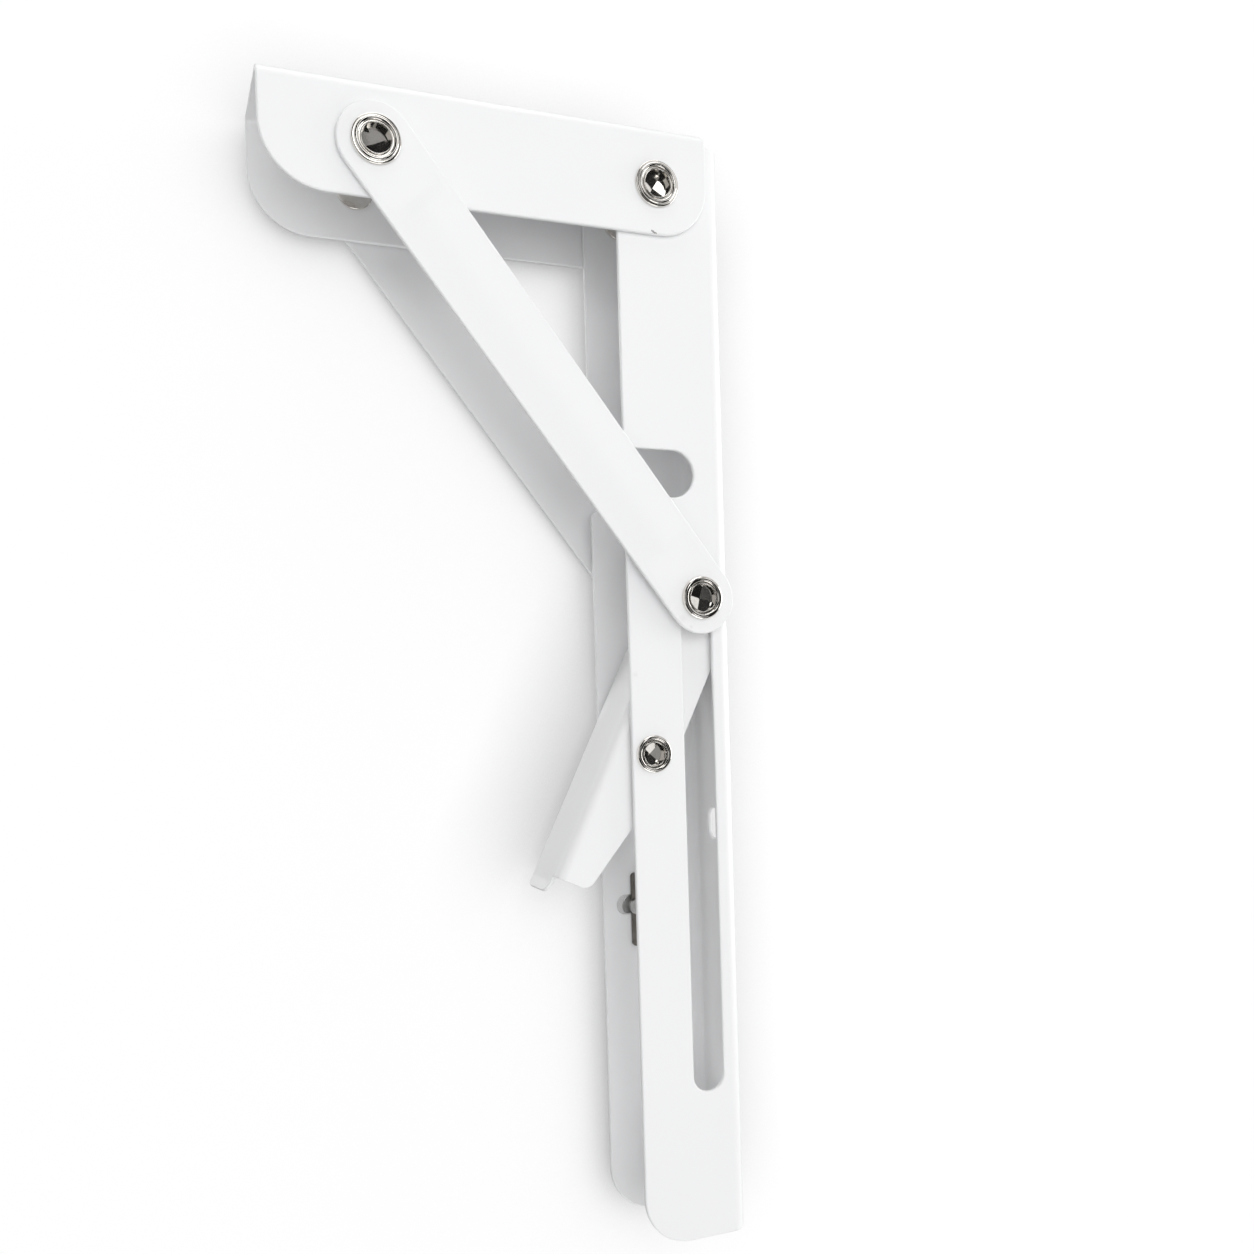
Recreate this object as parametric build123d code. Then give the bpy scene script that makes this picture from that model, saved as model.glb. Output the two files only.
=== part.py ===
from build123d import *
import math
import os

os.makedirs("parts", exist_ok=True)

# Sizes that drive the part, in millimetres. X runs out of the wall face, so the
# bracket reaches towards -X; Y runs across its width; Z is up along the rail.
rail_length = 420.0
rail_depth = 43.9
rail_width = 37.0
rail_sheet = 2.0
rail_bend = 3.5
rail_top_corner = 14.0
rail_foot_corner = 19.0

# Screw holes in the rail. The frame's origin is midway between the upper two.
wall_hole_gap = 200.0
wall_hole_drop = 61.0
wall_hole_width = 8.5
wall_hole_height = 12.5
foot_hole_rise = 29.0
foot_hole_radius = 4.25

# Main hinge, measured from the rail's front edge and its top.
hinge_in = 15.4
hinge_drop = 18.0

# Arm that carries the shelf.
arm_front_reach = 144.0
arm_rear_reach = 20.7
arm_height = 40.5
arm_sheet = 2.0
arm_bend = 3.5
arm_side_gap = 0.4
arm_above_rail = 4.1
arm_front_corner = 22.0
arm_rear_corner = 19.0
arm_tongue = 3.2
arm_tongue_corner = 2.8
arm_scallop = 5.5
arm_scallop_corner = 3.5
arm_end_cut_width = 32.0
shelf_hole_gap = 81.0
shelf_hole_first = 40.5
shelf_hole_width = 8.5
shelf_hole_length = 14.5

# Struts, from the arm's pin to the slide's pin.
pin_reach = 105.4
strut_length = 194.6
strut_width = 27.0
strut_sheet = 2.0
strut_gap = 0.6
rib_width = 10.5
rib_height = 0.9
rib_slope = 2.2
rib_end_gap = 28.0

# Slot in both rail flanges. It runs on below the folded slide pin.
slot_offset = 12.8
slot_half_width = 6.4
slot_run_on = 39.0

# Notch that lets the arm's rivet tails into the rail when folded.
notch_below_pin = 2.0
notch_half_width = 9.4
notch_depth = 28.1
notch_mouth = 3.0

# Rivets: a flange, a rolled ring on it, and the shank's own lip inside the ring.
head_radius = 8.6
head_height = 1.8
slide_head_radius = 8.2
flange_step = 0.9
flange_height = 1.1
flange_round = 0.5
ring_round = 0.8
lip_width = 0.6
lip_drop = 0.35
groove_width = 0.3
groove_depth = 0.5
bore_radius = 5.1
bore_depth = 4.6
slide_bore_depth = 3.0
punch_depth = 0.5
shank_radius = 6.0
tail_radius = 6.8
tail_height = 1.2
fit_gap = 0.05
seat_gap = 0.1

# Slide pins and their washers.
washer_radius = 9.0
slide_tail_radius = 8.0
slide_tail_gap = 0.15

# Release lever, drawn upright about its pivot and then leaned into the rail.
lever_in = 8.8
lever_below_slide = 58.6
lever_lean = 26.0
lever_sheet = 1.5
lever_bend = 2.6
lever_side_gap = 3.7
lever_front = 15.2
lever_rear = 10.3
lever_top = 54.0
lever_foot = 57.0
lever_top_corner = 7.0
lever_foot_rear = -1.9
lever_foot_corner = 5.0
lever_taper_start = 7.0
lever_taper_round = 20.0
lever_tab_width = 18.0
lever_tab_curl = 9.0
lever_tab_turn = 55.0
lever_tab_corner = 6.0
lever_head_radius = 7.2
lever_head_height = 1.3
lever_shank_radius = 5.0
lever_tail_radius = 6.5
lever_spacer_radius = 7.0
lever_bore_radius = 4.3

# Spring leaf and its stud on the far flange.
leaf_in = 15.7
leaf_width = 7.4
leaf_below_lever = 64.6
leaf_length = 30.0
leaf_sheet = 1.2
leaf_corner = 1.6
stud_in = 14.0
stud_below_lever = 63.4
stud_hole_length = 13.0
stud_hole_height = 7.8
stud_hole_in = 12.6
stud_hole_lift = 1.0
stud_end_radius = 3.1
stud_end_height = 1.3
stud_shank_radius = 2.4
stud_foot_radius = 4.6
stud_foot_height = 1.0

edge_round = 0.45
lever_edge_round = 0.3

# Places worked out from the sizes above.
rail_front = -rail_depth
rail_top = wall_hole_drop + wall_hole_gap / 2
rail_foot = rail_top - rail_length
half_rail = rail_width / 2
hinge_x = rail_front + hinge_in
hinge_z = rail_top - hinge_drop
arm_half = half_rail + arm_side_gap + arm_sheet
arm_top = rail_top + arm_above_rail
arm_front = hinge_x - arm_front_reach
arm_rear = hinge_x + arm_rear_reach
strut_inner = arm_half + strut_gap
strut_outer = strut_inner + strut_sheet
pin_x = hinge_x - pin_reach
slot_x = hinge_x + slot_offset
open_drop = math.sqrt(strut_length**2 - (pin_reach + slot_offset) ** 2)
slide_z = hinge_z - open_drop
strut_angle = math.degrees(math.atan2(slide_z - hinge_z, slot_x - pin_x))
fold_reach = math.sqrt(strut_length**2 - slot_offset**2)
folded_pin_z = hinge_z - pin_reach
slot_foot = folded_pin_z - fold_reach - slot_run_on - slot_half_width
notch_z = folded_pin_z - notch_below_pin
foot_hole_z = rail_foot + foot_hole_rise
lever_x = rail_front + lever_in
lever_z = slide_z - lever_below_slide
lever_half = half_rail - lever_side_gap
leaf_x = rail_front + leaf_in
leaf_z = lever_z - leaf_below_lever
stud_x = rail_front + stud_in
stud_z = lever_z - stud_below_lever


def plate(sketch, y_low, y_high):
    return extrude(Plane.XZ.offset(-y_high) * sketch, amount=y_high - y_low)


def across_rod(x, z, radius, y_low, y_high):
    return plate(Pos(x, z) * Circle(radius), y_low, y_high)


def soften(sketch, x, y, radius):
    corner = sketch.vertices().sort_by_distance(Vector(x, y, 0))[0]
    return fillet(corner, radius)


def block(x_low, x_high, y_low, y_high):
    return Pos((x_low + x_high) / 2, (y_low + y_high) / 2) * Rectangle(x_high - x_low, y_high - y_low)


def channel_section(half_width, depth, sheet, bend):
    # Web along the top of the section, flanges hanging down.
    outer = block(-half_width, half_width, -depth, 0)
    outer = soften(outer, -half_width, 0, bend)
    outer = soften(outer, half_width, 0, bend)
    inner_half = half_width - sheet
    inner = block(-inner_half, inner_half, -depth - 1, -sheet)
    inner = soften(inner, -inner_half, -sheet, bend - sheet)
    inner = soften(inner, inner_half, -sheet, bend - sheet)
    return outer - inner


def sheet_edges(solid, half_width, sheet):
    # Cut edges of both flanges, inside and out, to be rounded as thick paint does.
    picked = []
    for edge in solid.edges():
        box = edge.bounding_box()
        flat = box.max.Y - box.min.Y < 0.001
        place = abs((box.max.Y + box.min.Y) / 2)
        on_outer = abs(place - half_width) < 0.001
        on_inner = abs(place - (half_width - sheet)) < 0.001
        if flat and (on_outer or on_inner) and edge.length > 1.0:
            picked.append(edge)
    return picked


def rivet(head_r, head_h, step, shank_r, grip, tail_r, tail_h, bore_r, bore_d):
    # Half section with the radius along X, turned about +Z: the head sits above
    # z = 0 and the tail below z = -grip.
    ring_outer = head_r - step
    ring_inner = bore_r + lip_width + groove_width
    rolled = min(ring_round, 0.45 * (ring_outer - ring_inner))
    lip_top = head_h - lip_drop
    section = soften(block(0, ring_outer, 0, head_h), ring_outer, head_h, rolled)
    if step > 0:
        section += soften(block(0, head_r, 0, flange_height), head_r, flange_height, flange_round)
    section += block(0, shank_r, -grip, 0)
    if tail_h > 0:
        section += block(0, tail_r, -grip - tail_h, -grip)
    section -= block(-1, ring_inner, lip_top - groove_depth, head_h + 1)
    section = soften(section, ring_inner, head_h, rolled)
    lip = block(bore_r, bore_r + lip_width, lip_top - 2 * groove_depth, lip_top)
    lip = soften(lip, bore_r, lip_top, 0.45 * lip_width)
    lip = soften(lip, bore_r + lip_width, lip_top, 0.45 * lip_width)
    section += lip
    section -= block(-1, bore_r, head_h - bore_d, head_h)
    body = revolve(Plane.XZ * section, Axis.Z)
    # The bore's floor is struck with a four-sided point.
    base = Rectangle(2 * bore_r, 2 * bore_r).face()
    punch = loft([base, Vertex(0, 0, -punch_depth)])
    punch = punch & Pos(0, 0, -punch_depth) * extrude(Circle(bore_r), amount=punch_depth)
    return body - Pos(0, 0, head_h - bore_d) * punch


def stand(solid, x, y, z, side):
    # Turns a rivet's head outwards: side -1 is the near side, +1 the far side.
    turn = 90 if side < 0 else -90
    return Pos(x, y, z) * Rot(turn, 0, 0) * solid


def strut(side):
    length = Pos(strut_length / 2, 0) * SlotCenterToCenter(strut_length, strut_width)
    length -= Circle(shank_radius + fit_gap)
    length -= Pos(strut_length, 0) * Circle(shank_radius)
    bar = extrude(length, amount=strut_sheet)
    outline = bar.edges().filter_by(GeomType.LINE).filter_by(Axis.X)
    arcs = [edge for edge in bar.edges().filter_by(GeomType.CIRCLE) if abs(edge.radius - strut_width / 2) < 0.01]
    bar = fillet(list(outline) + arcs, edge_round)
    middle = strut_length / 2
    rib_run = strut_length - 2 * rib_end_gap - rib_width
    rib_low = Pos(middle, 0) * SlotCenterToCenter(rib_run, rib_width)
    rib_high = Pos(middle, 0, rib_height) * SlotCenterToCenter(rib_run, rib_width - 2 * rib_slope)
    rib = loft([rib_low, rib_high])
    bar = bar + Pos(0, 0, strut_sheet) * rib - rib
    # The drawn bar lies in its own XY plane with its outer face up.
    if side < 0:
        placed = Pos(pin_x, -strut_inner, hinge_z) * Rot(90, 0, 0) * Rot(0, 0, strut_angle) * bar
    else:
        placed = Pos(pin_x, strut_inner, hinge_z) * Rot(-90, 0, 0) * Rot(0, 0, -strut_angle) * bar
    return placed


def save(solid, name):
    solid.label = name
    export_step(solid, "parts/" + name + ".step")
    print(name, round(solid.volume, 1), len(solid.solids()))


# Wall rail.
rail_section = channel_section(half_rail, rail_depth, rail_sheet, rail_bend)
rail = Pos(0, 0, rail_foot) * extrude(Rot(0, 0, -90) * rail_section, amount=rail_length)
side_view = block(rail_front, 0, rail_foot, rail_top)
side_view = soften(side_view, rail_front, rail_foot, rail_foot_corner)
side_view = soften(side_view, rail_front, rail_top, rail_top_corner)
notch_end = rail_front + notch_depth - notch_half_width
side_view -= Pos(notch_end, notch_z) * Circle(notch_half_width)
side_view -= block(rail_front - 1, notch_end, notch_z - notch_half_width, notch_z + notch_half_width)
side_view = soften(side_view, rail_front, notch_z - notch_half_width, notch_mouth)
side_view = soften(side_view, rail_front, notch_z + notch_half_width, notch_mouth)
slot_top = slide_z + slot_half_width
slot_shape = SlotOverall(slot_top - slot_foot, 2 * slot_half_width, rotation=90)
side_view -= Pos(slot_x, (slot_top + slot_foot) / 2) * slot_shape
side_view -= Pos(hinge_x, hinge_z) * Circle(shank_radius)
side_view -= Pos(lever_x, lever_z) * Circle(lever_shank_radius)
rail = rail & plate(side_view, -rail_width, rail_width)
stud_hole = SlotOverall(stud_hole_length, stud_hole_height)
stud_hole = Pos(rail_front + stud_hole_in, stud_z + stud_hole_lift) * stud_hole
rail -= plate(stud_hole, half_rail - rail_sheet - 1, half_rail + 1)
wall_slot = extrude(SlotOverall(wall_hole_height, wall_hole_width), amount=rail_sheet + 2)
wall_slot = Rot(0, 90, 0) * wall_slot
for hole_z in (wall_hole_gap / 2, -wall_hole_gap / 2):
    rail -= Pos(-rail_sheet - 1, 0, hole_z) * wall_slot
foot_hole = Rot(0, 90, 0) * extrude(Circle(foot_hole_radius), amount=rail_sheet + 2)
rail -= Pos(-rail_sheet - 1, 0, foot_hole_z) * foot_hole
rail = fillet(sheet_edges(rail, half_rail, rail_sheet), edge_round)
save(rail, "wall_rail")

# Shelf arm.
arm_section = channel_section(arm_half, arm_height, arm_sheet, arm_bend)
arm_run = arm_rear - arm_front
arm = extrude(Plane.YZ.offset(arm_front) * (Pos(0, arm_top) * arm_section), amount=arm_run)
arm_view = block(arm_front, arm_rear, arm_top - arm_height, arm_top)
arm_view = soften(arm_view, arm_front, arm_top - arm_height, arm_front_corner)
arm_view = soften(arm_view, arm_rear, arm_top - arm_height, arm_rear_corner)
arm_view -= Pos(hinge_x, hinge_z) * Circle(shank_radius + fit_gap)
arm_view -= Pos(pin_x, hinge_z) * Circle(shank_radius)
arm = arm & plate(arm_view, -2 * rail_width, 2 * rail_width)
half_cut = arm_end_cut_width / 2
scallop = block(arm_rear - arm_scallop, arm_rear + 4, -half_cut, half_cut)
scallop = soften(scallop, arm_rear - arm_scallop, -half_cut, arm_scallop_corner)
scallop = soften(scallop, arm_rear - arm_scallop, half_cut, arm_scallop_corner)
arm -= Pos(0, 0, arm_top - arm_sheet - 1) * extrude(scallop, amount=arm_sheet + 2)
tongue = block(arm_front - arm_tongue, arm_front + 1, -half_cut, half_cut)
tongue = soften(tongue, arm_front - arm_tongue, -half_cut, arm_tongue_corner)
tongue = soften(tongue, arm_front - arm_tongue, half_cut, arm_tongue_corner)
arm += Pos(0, 0, arm_top - arm_sheet) * extrude(tongue, amount=arm_sheet)
shelf_slot = extrude(SlotOverall(shelf_hole_length, shelf_hole_width), amount=arm_sheet + 2)
for step in range(2):
    hole_x = hinge_x - shelf_hole_first - step * shelf_hole_gap
    arm -= Pos(hole_x, 0, arm_top - arm_sheet - 1) * shelf_slot
arm = fillet(sheet_edges(arm, arm_half, arm_sheet), edge_round)
save(arm, "shelf_arm")

# Struts.
save(strut(-1), "near_strut")
save(strut(1), "far_strut")

# Release lever.
lever_section = channel_section(lever_half, lever_front + lever_rear, lever_sheet, lever_bend)
lever = Pos(-lever_front, 0, -lever_foot) * extrude(Rot(0, 0, 90) * lever_section, amount=lever_top + lever_foot)
lever_outline = Polyline(
    (-lever_front, lever_top),
    (lever_rear, lever_top),
    (lever_rear, -lever_taper_start),
    (lever_foot_rear, -lever_foot),
    (-lever_front, -lever_foot),
    close=True,
)
lever_view = make_face(lever_outline)
lever_view = soften(lever_view, lever_rear, lever_top, lever_top_corner)
lever_view = soften(lever_view, lever_rear, -lever_taper_start, lever_taper_round)
lever_view = soften(lever_view, lever_foot_rear, -lever_foot, lever_foot_corner)
lever_view -= Circle(lever_shank_radius + fit_gap)
lever = lever & plate(lever_view, -rail_width, rail_width)
lever = fillet(sheet_edges(lever, lever_half, lever_sheet), lever_edge_round)
# Thumb tab: the foot of the web curls outwards.
ring = Circle(lever_tab_curl) - Circle(lever_tab_curl - lever_sheet)
tab_turn = math.radians(lever_tab_turn)
wedge_reach = 3 * lever_tab_curl
wedge = Polyline(
    (0, 0),
    (wedge_reach, 0),
    (wedge_reach * math.cos(tab_turn), -wedge_reach * math.sin(tab_turn)),
    close=True,
)
curl_x = -lever_front + lever_sheet - lever_tab_curl
half_tab = lever_tab_width / 2
tab = plate(Pos(curl_x, -lever_foot) * (ring & make_face(wedge)), -half_tab, half_tab)
tab_drop = lever_tab_curl * math.sin(tab_turn)
tab_front = block(-half_tab, half_tab, -lever_foot - tab_drop, -lever_foot)
tab_front = soften(tab_front, -half_tab, -lever_foot - tab_drop, lever_tab_corner)
tab_front = soften(tab_front, half_tab, -lever_foot - tab_drop, lever_tab_corner)
tab = tab & extrude(Plane.YZ.offset(-2 * lever_front) * tab_front, amount=3 * lever_front)
lever += tab
lever = Pos(lever_x, 0, lever_z) * Rot(0, lever_lean, 0) * lever
save(lever, "release_lever")

for side, name in ((-1, "near"), (1, "far")):
    # Hinge rivets: head on the arm, tail inside the rail.
    grip = seat_gap + arm_sheet + arm_side_gap + rail_sheet
    hinge_rivet = rivet(
        head_radius, head_height, flange_step, shank_radius, grip,
        tail_radius, tail_height, bore_radius, bore_depth,
    )
    save(stand(hinge_rivet, hinge_x, side * (arm_half + seat_gap), hinge_z, side), name + "_hinge_rivet")
    # Strut rivets: head on the strut, tail inside the arm.
    grip = seat_gap + strut_sheet + strut_gap + arm_sheet
    strut_rivet = rivet(
        head_radius, head_height, flange_step, shank_radius, grip,
        tail_radius, tail_height, bore_radius, bore_depth,
    )
    save(stand(strut_rivet, pin_x, side * (strut_outer + seat_gap), hinge_z, side), name + "_strut_rivet")
    # Slide heads ride with the strut and stop short of the slide pins.
    slide_head = rivet(
        slide_head_radius, head_height, 0, shank_radius, strut_sheet,
        0, 0, bore_radius, slide_bore_depth,
    )
    save(stand(slide_head, slot_x, side * strut_outer, slide_z, side), name + "_slide_head")
    # Slide pins pass through the rail's slot.
    washer_low = half_rail + seat_gap
    washer_high = strut_inner - seat_gap
    shank_end = half_rail - rail_sheet - slide_tail_gap
    pin = extrude(Circle(shank_radius), amount=washer_high - shank_end)
    pin += Pos(0, 0, -tail_height) * extrude(Circle(slide_tail_radius), amount=tail_height)
    save(stand(pin, slot_x, side * shank_end, slide_z, side), name + "_slide_pin")
    washer = extrude(Circle(washer_radius) - Circle(shank_radius), amount=washer_high - washer_low)
    save(stand(washer, slot_x, side * washer_low, slide_z, side), name + "_slide_washer")
    # Lever rivets: head on the rail, tail inside the lever.
    grip = lever_side_gap + lever_sheet + seat_gap
    lever_rivet = rivet(
        lever_head_radius, lever_head_height, 0, lever_shank_radius, grip,
        lever_tail_radius, tail_height, lever_bore_radius, bore_depth,
    )
    save(stand(lever_rivet, lever_x, side * half_rail, lever_z, side), name + "_lever_rivet")
    # Spacer that keeps the lever's flange off the rail's inner face.
    spacer = Circle(lever_spacer_radius) - Circle(lever_shank_radius)
    spacer = extrude(spacer, amount=lever_side_gap - rail_sheet - seat_gap)
    save(stand(spacer, lever_x, side * (lever_half + seat_gap), lever_z, side), name + "_lever_spacer")

# Spring leaf and stud on the far flange.
inner_face = half_rail - rail_sheet
leaf_view = Pos(leaf_x, leaf_z) * RectangleRounded(leaf_width, leaf_length, leaf_corner)
leaf_view -= Pos(stud_x, stud_z) * Circle(stud_shank_radius)
leaf = plate(leaf_view, inner_face - leaf_sheet, inner_face)
save(leaf, "spring_leaf")
stud = across_rod(stud_x, stud_z, stud_end_radius, inner_face - leaf_sheet - stud_end_height, inner_face - leaf_sheet)
stud += across_rod(stud_x, stud_z, stud_shank_radius, inner_face - leaf_sheet, half_rail)
stud += across_rod(stud_x, stud_z, stud_foot_radius, half_rail, half_rail + stud_foot_height)
save(stud, "leaf_stud")

print("slide travel", round(pin_reach + fold_reach - open_drop, 4))
folded_angle = math.degrees(math.atan2(-fold_reach, slot_offset))
print("strut turn", round(strut_angle - folded_angle + 90, 4))
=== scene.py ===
import math

import bmesh
import bpy
from mathutils import Matrix, Vector
from mathutils.geometry import delaunay_2d_cdt


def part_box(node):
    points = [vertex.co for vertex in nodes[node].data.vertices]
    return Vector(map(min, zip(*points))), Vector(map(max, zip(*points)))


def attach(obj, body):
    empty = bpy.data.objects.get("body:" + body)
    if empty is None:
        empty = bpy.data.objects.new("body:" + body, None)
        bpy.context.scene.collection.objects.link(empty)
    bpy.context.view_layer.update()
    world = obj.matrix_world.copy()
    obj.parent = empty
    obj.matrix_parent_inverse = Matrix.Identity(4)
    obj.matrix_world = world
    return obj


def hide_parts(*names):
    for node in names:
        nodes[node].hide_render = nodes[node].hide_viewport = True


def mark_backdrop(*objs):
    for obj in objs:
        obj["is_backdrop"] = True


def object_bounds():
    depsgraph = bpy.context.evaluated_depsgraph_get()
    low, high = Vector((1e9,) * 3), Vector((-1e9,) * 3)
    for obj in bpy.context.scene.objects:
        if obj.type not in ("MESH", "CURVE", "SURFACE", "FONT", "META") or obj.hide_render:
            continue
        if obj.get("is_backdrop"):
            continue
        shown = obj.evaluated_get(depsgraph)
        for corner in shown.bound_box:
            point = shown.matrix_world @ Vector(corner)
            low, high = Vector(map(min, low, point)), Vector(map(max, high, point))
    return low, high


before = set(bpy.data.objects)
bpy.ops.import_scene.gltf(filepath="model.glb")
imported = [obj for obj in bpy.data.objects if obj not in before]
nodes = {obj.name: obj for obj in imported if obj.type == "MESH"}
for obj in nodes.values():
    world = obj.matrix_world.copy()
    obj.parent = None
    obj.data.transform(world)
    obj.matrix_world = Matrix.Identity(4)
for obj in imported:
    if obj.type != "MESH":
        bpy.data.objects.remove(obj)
cadLow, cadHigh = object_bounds()
print("frame loaded:", len(nodes), "nodes")

mm = 0.001


# --- a thin layer over node sockets, so that maths reads as maths ---

class Wire:
    def __init__(self, board, socket):
        self.board = board
        self.socket = socket

    def calc(self, operation, other, swapped=False):
        pair = (other, self) if swapped else (self, other)
        return self.board.add("ShaderNodeMath", {"operation": operation}, {0: pair[0], 1: pair[1]})

    def __add__(self, other):
        return self.calc("ADD", other)

    def __radd__(self, other):
        return self.calc("ADD", other, True)

    def __sub__(self, other):
        return self.calc("SUBTRACT", other)

    def __rsub__(self, other):
        return self.calc("SUBTRACT", other, True)

    def __mul__(self, other):
        return self.calc("MULTIPLY", other)

    def __rmul__(self, other):
        return self.calc("MULTIPLY", other, True)

    def __truediv__(self, other):
        return self.calc("DIVIDE", other)

    def __lt__(self, other):
        return self.calc("LESS_THAN", other)

    def __gt__(self, other):
        return self.calc("GREATER_THAN", other)


class Board:
    def __init__(self, tree):
        self.tree = tree

    def add(self, kind, settings=None, inputs=None, out=0):
        node = self.tree.nodes.new(kind)
        for key, value in (settings or {}).items():
            if key == "stops":
                ramp = node.color_ramp.elements
                while len(ramp) > 1:
                    ramp.remove(ramp[-1])
                ramp[0].position, ramp[0].color = value[0]
                for place, colour in value[1:]:
                    ramp.new(place).color = colour
            elif key == "items":
                while len(node.index_switch_items) < value:
                    node.index_switch_items.new()
            else:
                setattr(node, key, value)
        for key, value in (inputs or {}).items():
            socket = node.inputs[key]
            if isinstance(value, Wire):
                self.tree.links.new(value.socket, socket)
            else:
                socket.default_value = value
        if not node.outputs:
            return node
        return Wire(self, node.outputs[out])


def grey(level):
    return (level, level, level, 1.0)


def newMaterial(name):
    material = bpy.data.materials.new(name)
    material.use_nodes = True
    material.node_tree.nodes.clear()
    return material, Board(material.node_tree)


def finishMaterial(board, shader):
    board.add("ShaderNodeOutputMaterial", {}, {"Surface": shader})


# --- white powder coat on the sheet pieces ---

paint = {
    "tone": (0.885, 0.887, 0.892, 1.0),
    "toneShade": (0.862, 0.865, 0.872, 1.0),
    "roughness": 0.40,
    "roughSpread": 0.10,
    "peelSize": 1.3 * mm,
    "peelHeight": 0.012 * mm,
    "flowSize": 9.0 * mm,
    "cloudSize": 60.0 * mm,
    "speckSize": 0.45 * mm,
    "dustFrom": 0.735,
    "dustTo": 0.76,
    "dustShare": 0.10,
    "dustRough": 0.12,
    "chipMetal": (0.30, 0.29, 0.28, 1.0),
    "chipDepth": 6.0,
    "rubAndShade": (0.74, 0.74, 0.745, 1.0),
    "rubAndShadeShare": 0.45,
    "ragged": 1.4,
}

# Wear seen on the near side, and one painted shade spot: place on the piece in millimetres, size, and kind.
paintMarks = {
    "shelf_arm": [
        ((-30.9, -20.9, 125.6), 0.36, "chip"), ((-30.3, -20.9, 125.3), 0.40, "chip"),
        ((-29.7, -20.9, 125.0), 0.42, "chip"), ((-29.1, -20.9, 124.7), 0.40, "chip"),
        ((-28.5, -20.9, 124.45), 0.34, "chip")],
    "near_strut": [((-24.0, -23.7, -19.5), 1.6, "rubAndShade"), ((-20.5, -23.7, -22.5), 0.8, "rubAndShade")],
    # The first rail mark is painted shade, not wear: a darker soft spot for the shade at the lower end of the
    # near strut's crease. The second is wear.
    "wall_rail": [((-31.5, -18.5, 10.0), 2.2, "rubAndShade"), ((-42.0, -18.5, -40.0), 1.0, "rubAndShade")],
}


def paintMaterial(name, marks):
    material, board = newMaterial(name)
    place = board.add("ShaderNodeTexCoord", out=3)

    def noise(size, detail, rough=0.5):
        return board.add("ShaderNodeTexNoise", {}, {
            "Vector": place, "Scale": 1 / size, "Detail": detail, "Roughness": rough})

    cloud = noise(paint["cloudSize"], 2.0)
    flow = noise(paint["flowSize"], 3.0)
    peel = noise(paint["peelSize"], 2.0, 0.45)
    speck = noise(paint["speckSize"], 1.0)
    dust = board.add("ShaderNodeValToRGB", {
        "stops": [(paint["dustFrom"], grey(0)), (paint["dustTo"], grey(1))]}, {0: speck})
    colour = board.add("ShaderNodeMix", {"data_type": "RGBA"}, {
        0: cloud, 6: paint["toneShade"], 7: paint["tone"]}, out=2)
    colour = board.add("ShaderNodeMix", {"data_type": "RGBA"}, {
        0: dust * paint["dustShare"], 6: colour, 7: paint["rubAndShade"]}, out=2)
    height = peel * 0.7 + flow * 0.9
    for centre, size, kind in marks:
        away = board.add("ShaderNodeVectorMath", {"operation": "DISTANCE"}, {
            0: place, 1: tuple(v * mm for v in centre)}, out=1)
        ragged = away / (size * mm) + (speck - 0.5) * paint["ragged"]
        if kind == "chip":
            mask = board.add("ShaderNodeMapRange", {}, {0: ragged, 1: 0.85, 2: 1.0, 3: 1.0, 4: 0.0})
            colour = board.add("ShaderNodeMix", {"data_type": "RGBA"}, {
                0: mask, 6: colour, 7: paint["chipMetal"]}, out=2)
            height = height - mask * paint["chipDepth"]
        else:
            # Darker soft marks: scuffs, and on the rail one painted shade spot.
            mask = board.add("ShaderNodeMapRange", {}, {0: ragged, 1: 0.2, 2: 1.3, 3: 1.0, 4: 0.0})
            colour = board.add("ShaderNodeMix", {"data_type": "RGBA"}, {
                0: mask * paint["rubAndShadeShare"], 6: colour, 7: paint["rubAndShade"]}, out=2)
    rough = paint["roughness"] + (flow - 0.5) * paint["roughSpread"] + dust * paint["dustRough"]
    bump = board.add("ShaderNodeBump", {}, {
        "Strength": 1.0, "Distance": paint["peelHeight"], "Height": height})
    shader = board.add("ShaderNodeBsdfPrincipled", {}, {
        "Base Color": colour, "Roughness": rough, "IOR": 1.48, "Normal": bump})
    finishMaterial(board, shader)
    return material


# --- bright nickel on the rivets, dull steel on what sits behind them ---

nickel = {
    "bright": (0.80, 0.775, 0.735, 1.0),
    "worn": (0.60, 0.575, 0.54, 1.0),
    "roughness": 0.06,
    "roughSpread": 0.12,
    "turnPitch": 0.16 * mm,
    "turnHeight": 0.0004 * mm,
    "smudgeSize": 2.2 * mm,
    "scratchSize": 0.22 * mm,
}


def nickelMaterial(name, turned, dull):
    # turned: the mesh carries the distance from the rivet's axis, for lathe marks.
    material, board = newMaterial(name)
    place = board.add("ShaderNodeTexCoord", out=3)
    smudge = board.add("ShaderNodeTexNoise", {}, {
        "Vector": place, "Scale": 1 / nickel["smudgeSize"], "Detail": 4.0, "Roughness": 0.6})
    fine = board.add("ShaderNodeTexNoise", {}, {
        "Vector": place, "Scale": 1 / nickel["scratchSize"], "Detail": 3.0, "Roughness": 0.65})
    height = fine * 0.5
    if turned:
        reach = board.add("ShaderNodeAttribute", {"attribute_name": "turnRadius"}, {}, out=2)
        marks = board.add("ShaderNodeMath", {"operation": "SINE"}, {
            0: reach * (2 * math.pi / nickel["turnPitch"]) + smudge * 9.0})
        height = height + marks * 0.5
    colour = board.add("ShaderNodeMix", {"data_type": "RGBA"}, {
        0: (smudge - 0.35) * 1.1, 6: nickel["bright"], 7: nickel["worn"]}, out=2)
    rough = nickel["roughness"] + dull + smudge * nickel["roughSpread"] * 0.6
    bump = board.add("ShaderNodeBump", {}, {
        "Strength": 1.0, "Distance": nickel["turnHeight"], "Height": height})
    shader = board.add("ShaderNodeBsdfPrincipled", {}, {
        "Base Color": colour, "Metallic": 1.0, "Roughness": rough, "Normal": bump})
    finishMaterial(board, shader)
    return material


# --- dark spring leaf and its dull stud ---

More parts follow.
